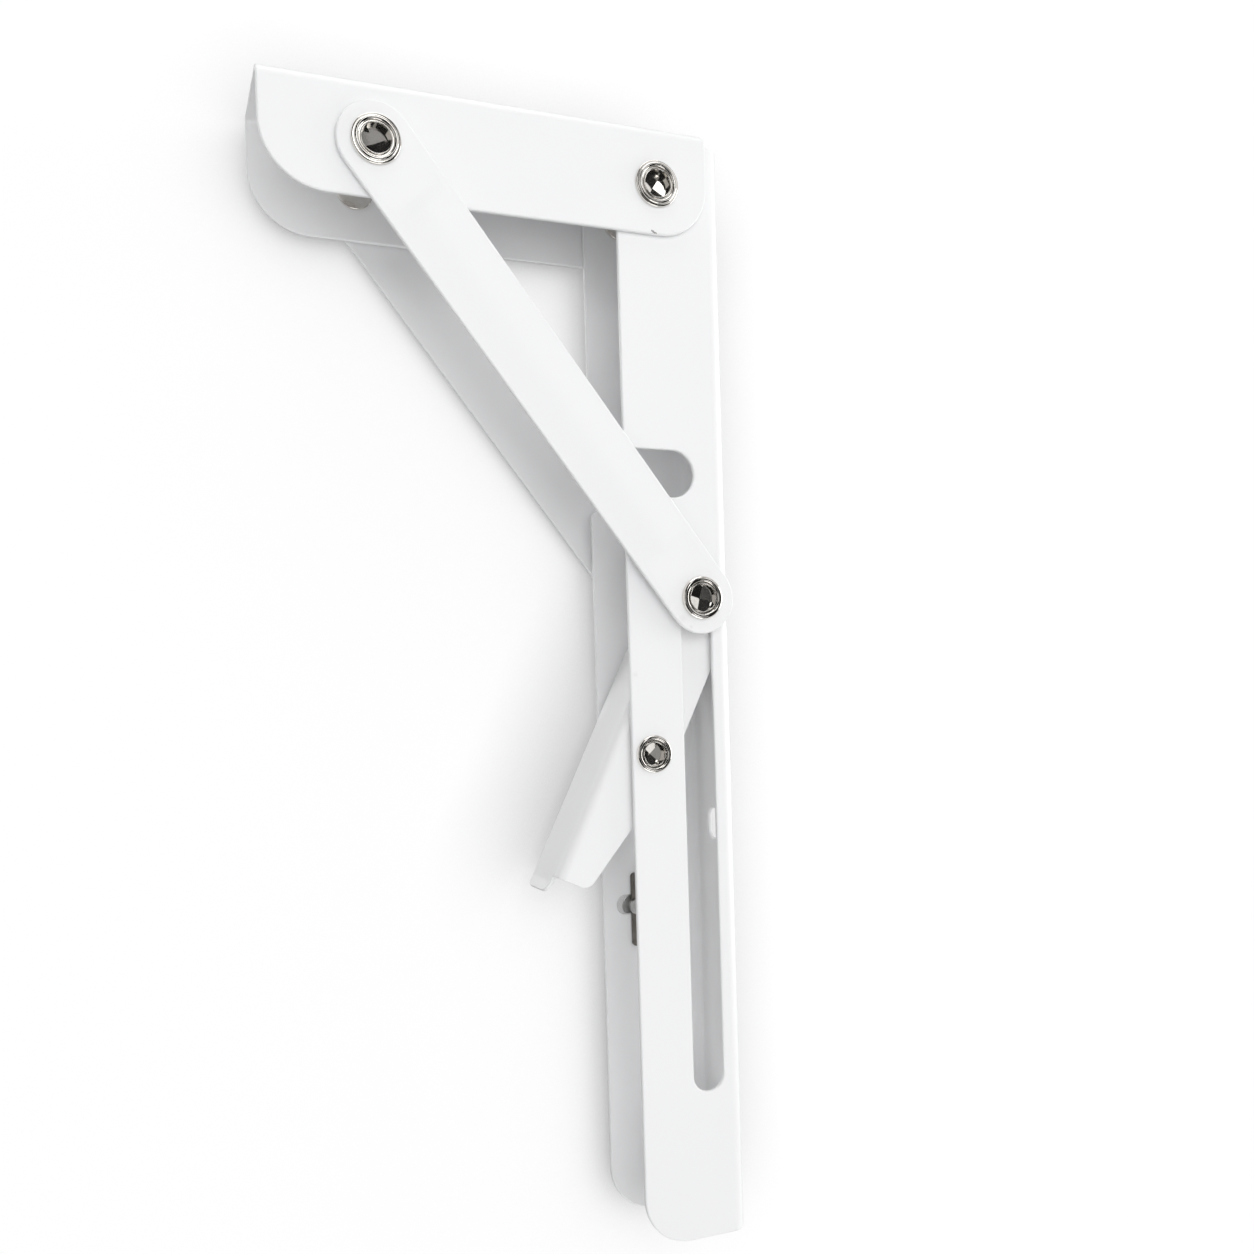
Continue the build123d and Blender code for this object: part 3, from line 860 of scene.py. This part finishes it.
    # The bore's floor is struck with a four-sided point.
    wide = board.add("ShaderNodeMath", {"operation": "ABSOLUTE"}, {0: across})
    deep = board.add("ShaderNodeMath", {"operation": "ABSOLUTE"}, {0: along})
    edge = board.add("ShaderNodeMath", {"operation": "MAXIMUM"}, {0: wide, 1: deep}) / size["boreRadius"]
    onFloor = (reach < size["boreRadius"] + 0.01 * mm) * (height < floorZ + 0.01 * mm)
    onFloor = onFloor * (height > tailEnd + 0.01 * mm)
    struck = height - (1.0 - edge) * size["punchDepth"] * onFloor
    turned = board.add("ShaderNodeCombineXYZ", {}, {0: across, 1: along, 2: struck})
    grid = board.add("GeometryNodeSetPosition", {}, {"Geometry": grid, "Position": turned})
    grid = board.add("GeometryNodeMergeByDistance", {}, {"Geometry": grid, "Distance": 0.002 * mm})
    corner = board.add("GeometryNodeInputMeshEdgeAngle")
    grid = board.add("GeometryNodeSetShadeSmooth", {"domain": "FACE"}, {"Geometry": grid, "Shade Smooth": True})
    grid = board.add("GeometryNodeSetShadeSmooth", {"domain": "EDGE"}, {
        "Geometry": grid, "Selection": corner > math.radians(32), "Shade Smooth": False})
    floorFace = (height < floorZ + 0.01 * mm) * (height > tailEnd + 0.01 * mm) * (reach < size["boreRadius"])
    grid = board.add("GeometryNodeSetShadeSmooth", {"domain": "FACE"}, {
        "Geometry": grid, "Selection": floorFace, "Shade Smooth": False})

    # One rivet on each side, head outwards.
    pair = board.add("GeometryNodeMeshLine", {}, {"Count": 2})
    far = board.add("GeometryNodeInputIndex") * 1.0
    outward = far * 2.0 - 1.0
    seat = board.add("ShaderNodeCombineXYZ", {}, {
        0: size["centreX"], 1: outward * size["seatReach"], 2: size["centreZ"]})
    pair = board.add("GeometryNodeSetPosition", {}, {"Geometry": pair, "Position": seat})
    own = size["nearTurn"] + far * (size["farTurn"] - size["nearTurn"])
    spin = board.add("ShaderNodeCombineXYZ", {}, {0: outward * (-math.pi / 2), 1: 0.0, 2: 0.0})
    spin = board.add("FunctionNodeEulerToRotation", {}, {0: spin})
    turn = board.add("ShaderNodeCombineXYZ", {}, {0: 0.0, 1: 0.0, 2: own})
    turn = board.add("FunctionNodeEulerToRotation", {}, {0: turn})
    spin = board.add("FunctionNodeRotateRotation", {"rotation_space": "LOCAL"}, {0: spin, 1: turn})
    pair = board.add("GeometryNodeInstanceOnPoints", {}, {
        "Points": pair, "Instance": grid, "Rotation": spin})
    made = board.add("GeometryNodeRealizeInstances", {}, {"Geometry": pair})
    made = board.add("GeometryNodeSetMaterial", {}, {
        "Geometry": made, "Material": Wire(board, group.outputs["finish"])})
    board.add("NodeGroupOutput", {}, {"Geometry": made})
    return tree


def plainMesh(name, maker, values):
    # Runs the tree once and keeps what it makes as an ordinary mesh.
    holder = bpy.data.objects.new(name + "Maker", bpy.data.meshes.new(name + "Maker"))
    bpy.context.scene.collection.objects.link(holder)
    modifier = holder.modifiers.new("rivets", "NODES")
    modifier.node_group = maker
    for item in maker.interface.items_tree:
        if item.in_out == "INPUT":
            modifier[item.identifier] = values[item.name]
    evaluated = holder.evaluated_get(bpy.context.evaluated_depsgraph_get())
    mesh = bpy.data.meshes.new_from_object(evaluated)
    mesh.name = name
    bpy.data.objects.remove(holder)
    work = bmesh.new()
    work.from_mesh(mesh)
    bmesh.ops.recalc_face_normals(work, faces=work.faces)
    work.to_mesh(mesh)
    work.free()
    piece = bpy.data.objects.new(name, mesh)
    bpy.context.scene.collection.objects.link(piece)
    return piece


# What differs between the four pairs; radii, places and lengths come from the frame.
rivetPairs = {
    "hinge_rivet": {"body": "rail", "headHeight": 1.8, "boreRadius": 5.1, "boreDepth": 4.6,
                    "shankRadius": 6.0, "tailRadius": 6.8, "tailHeight": 1.2, "step": 0.9,
                    "turns": (12, 40)},
    "strut_rivet": {"body": "arm", "headHeight": 1.8, "boreRadius": 5.1, "boreDepth": 4.6,
                    "shankRadius": 6.0, "tailRadius": 6.8, "tailHeight": 1.2, "step": 0.9,
                    "turns": (68, 15)},
    "slide_head": {"body": "struts", "headHeight": 1.8, "boreRadius": 5.1, "boreDepth": 3.0,
                   "shankRadius": 6.0, "tailRadius": 6.0, "tailHeight": 0.0, "step": 0.0,
                   "turns": (30, 55)},
    "lever_rivet": {"body": "rail", "headHeight": 1.3, "boreRadius": 4.3, "boreDepth": 4.6,
                    "shankRadius": 5.0, "tailRadius": 6.5, "tailHeight": 1.2, "step": 0.0,
                    "turns": (2, 33)},
}
print("rivets")
rivetMaker = rivetTree()
for kind, form in rivetPairs.items():
    low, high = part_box("near_" + kind)
    values = dict(rivetForm)
    for name in ("headHeight", "boreRadius", "boreDepth", "shankRadius", "tailRadius", "tailHeight"):
        values[name] = form[name] * mm
    values["flangeStep"] = form["step"] * mm
    if form["step"] == 0:
        values["flangeHeight"] = 0.3 * mm
        values["flangeRound"] = 0.0
    values["headRadius"] = (high.x - low.x) / 2
    values["seatReach"] = -low.y - values["headHeight"]
    values["grip"] = high.y + values["seatReach"] - values["tailHeight"]
    values["centreX"] = (low.x + high.x) / 2
    values["centreZ"] = (low.z + high.z) / 2
    values["nearTurn"] = math.radians(form["turns"][0])
    values["farTurn"] = math.radians(form["turns"][1])
    values["finish"] = rivetNickel
    piece = plainMesh(kind + "s", rivetMaker, values)
    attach(piece, form["body"])
    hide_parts("near_" + kind, "far_" + kind)
    print(" ", kind, len(piece.data.polygons), "faces")


# --- stage: the pale table the bracket lies on, light, and dark cards for the metal ---

stage = {
    "tableGap": 0.3 * mm,
    "tableReach": 6.0,
    "tableTone": (0.20, 0.20, 0.201, 1.0),
    "tableLift": 0.80,
    # How far and how deep the painted contact shadow on the table's glow reaches.
    "contactReach": 44.0 * mm,
    "paintedContactShade": 0.22,
    "domeStrength": 0.32,
    "cardTone": 0.012,
    "dimTone": 0.30,
}


def flatSheet(name, corners):
    mesh = bpy.data.meshes.new(name)
    mesh.from_pydata(corners, [], [(0, 1, 2, 3)])
    piece = bpy.data.objects.new(name, mesh)
    bpy.context.scene.collection.objects.link(piece)
    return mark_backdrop(piece) or piece


def tableMaterial():
    # Seen only from the front; it takes the shadow but lets other light through. Its glow is darkened near the
    # bracket by ambient occlusion: a painted contact shadow.
    material, board = newMaterial("paleTable")
    rays = board.add("ShaderNodeLightPath")
    behind = board.add("ShaderNodeNewGeometry", out=6)
    seen = rays * (1.0 - behind)
    lit = board.add("ShaderNodeBsdfDiffuse", {}, {"Color": stage["tableTone"]})
    # Painted contact shadow: ambient occlusion darkens the table's glow near the bracket.
    near = board.add("ShaderNodeAmbientOcclusion", {"samples": 8}, {"Distance": stage["contactReach"]}, out=1)
    shade = board.add("ShaderNodeMapRange", {}, {0: near, 1: 0.0, 2: 1.0, 3: stage["paintedContactShade"], 4: 1.0})
    tone = board.add("ShaderNodeCombineColor", {}, {0: shade, 1: shade, 2: shade})
    lift = board.add("ShaderNodeEmission", {}, {"Color": tone, "Strength": stage["tableLift"]})
    face = board.add("ShaderNodeAddShader", {}, {0: lit, 1: lift})
    clear = board.add("ShaderNodeBsdfTransparent")
    finishMaterial(board, board.add("ShaderNodeMixShader", {}, {0: seen, 1: clear, 2: face}))
    return material


print("stage")
tableY = cadHigh.y + stage["tableGap"]
reach = stage["tableReach"]
table = flatSheet("paleTable", [
    (-reach, tableY, -reach), (reach, tableY, -reach), (reach, tableY, reach), (-reach, tableY, reach)])
table.data.materials.append(tableMaterial())

world = bpy.data.worlds.new("studio")
bpy.context.scene.world = world
world.use_nodes = True
world.node_tree.nodes.clear()
sky = Board(world.node_tree)
rays = sky.add("ShaderNodeLightPath")
rayKinds = rays.socket.node.outputs
direct = sky.add("ShaderNodeMath", {"operation": "MAXIMUM"}, {
    0: Wire(sky, rayKinds["Is Camera Ray"]), 1: Wire(sky, rayKinds["Is Glossy Ray"])})
direct = sky.add("ShaderNodeMath", {"operation": "MAXIMUM"}, {
    0: direct, 1: Wire(sky, rayKinds["Is Transmission Ray"])})
white = sky.add("ShaderNodeBackground", {}, {"Color": grey(1), "Strength": 1.0})
dome = sky.add("ShaderNodeBackground", {}, {"Color": grey(1), "Strength": stage["domeStrength"]})
sky.add("ShaderNodeOutputWorld", {}, {
    "Surface": sky.add("ShaderNodeMixShader", {}, {0: direct, 1: dome, 2: white})})

# Place, aim, width, height and power of the soft boxes.
softBoxes = {
    "keyBox": ((0.95, -1.25, 0.75), 1.0, 1.0, 3.0),
    "frontBox": ((-0.2, -1.9, 0.1), 2.0, 2.0, 21.6),
    "topBox": ((0.0, -0.3, 1.8), 1.4, 1.4, 10.5),
    "leftBox": ((-1.3, -1.1, 0.1), 1.2, 1.2, 2.5),
    "footBox": ((0.0, -0.4, -1.8), 1.4, 1.4, 9.0),
    "sideBox": ((1.7, -0.2, 0.1), 1.2, 1.2, 14.6),
    "backBox": ((-0.7, 1.6, 0.6), 1.4, 1.4, 18.4),
}
aim = Vector((-0.05, 0.0, -0.03))
for name, (spot, width, height, power) in softBoxes.items():
    lamp = bpy.data.lights.new(name, "AREA")
    lamp.shape = "RECTANGLE"
    lamp.size = width
    lamp.size_y = height
    lamp.energy = power
    holder = bpy.data.objects.new(name, lamp)
    bpy.context.scene.collection.objects.link(holder)
    holder.location = spot
    holder.rotation_mode = "QUATERNION"
    holder.rotation_quaternion = (aim - Vector(spot)).to_track_quat("-Z", "Y")


def cardMaterial(name, tone):
    material, board = newMaterial(name)
    finishMaterial(board, board.add("ShaderNodeEmission", {}, {"Color": grey(tone)}))
    return material


# Cards that only reflections see, around a low opening in front, and one behind.
darkCard = cardMaterial("darkCard", stage["cardTone"])
dimCard = cardMaterial("dimCard", stage["dimTone"])
cards = {
    "leftCard": [(-6.0, -1.5, -5.0), (-0.12, -1.5, -5.0), (-0.12, -1.5, 5.0), (-6.0, -1.5, 5.0)],
    "dimCard": [(-0.12, -1.5, -5.0), (0.22, -1.5, -5.0), (0.22, -1.5, 0.45), (-0.12, -1.5, 0.45)],
    "upperCard": [(0.22, -1.5, -0.45), (6.0, -1.5, -0.45), (6.0, -1.5, 5.0), (0.22, -1.5, 5.0)],
    "lowerCard": [(0.22, -1.5, -5.0), (6.0, -1.5, -5.0), (6.0, -1.5, -0.95), (0.22, -1.5, -0.95)],
    "rightCard": [(1.0, -1.5, -0.95), (6.0, -1.5, -0.95), (6.0, -1.5, -0.45), (1.0, -1.5, -0.45)],
    "backCard": [(-1.6, 1.5, -1.5), (2.0, 1.5, -1.5), (2.0, 1.5, 1.8), (-1.6, 1.5, 1.8)],
}
for name, corners in cards.items():
    card = flatSheet(name, corners)
    card.data.materials.append(dimCard if name == "dimCard" else darkCard)  # the dim one lights the facets
    card.visible_camera = False
    card.visible_diffuse = False
    card.visible_shadow = False
    card.visible_transmission = False
    card.visible_volume_scatter = False


# --- camera at the photograph's place ---

cameraPlace = {
    "spot": (-0.21619, -0.42598, -0.05200),
    "right": (0.929553, -0.367446, -0.030235),
    "up": (0.037793, 0.013389, 0.999196),
    "forward": (0.366746, 0.929948, -0.026333),
    "lens": 33.779,
    "shift": (0.01864, 0.08887),
}
camera = bpy.data.cameras.new("camera")
camera.sensor_width = 36.0
camera.lens = cameraPlace["lens"]
camera.shift_x, camera.shift_y = cameraPlace["shift"]
camera.clip_start = 0.01
view = bpy.data.objects.new("camera", camera)
bpy.context.scene.collection.objects.link(view)
right, up, forward = (Vector(cameraPlace[key]) for key in ("right", "up", "forward"))
turn = Matrix((right, up, -forward)).transposed().to_4x4()
view.matrix_world = Matrix.Translation(cameraPlace["spot"]) @ turn
bpy.context.scene.camera = view
bpy.context.scene.view_settings.view_transform = "Standard"
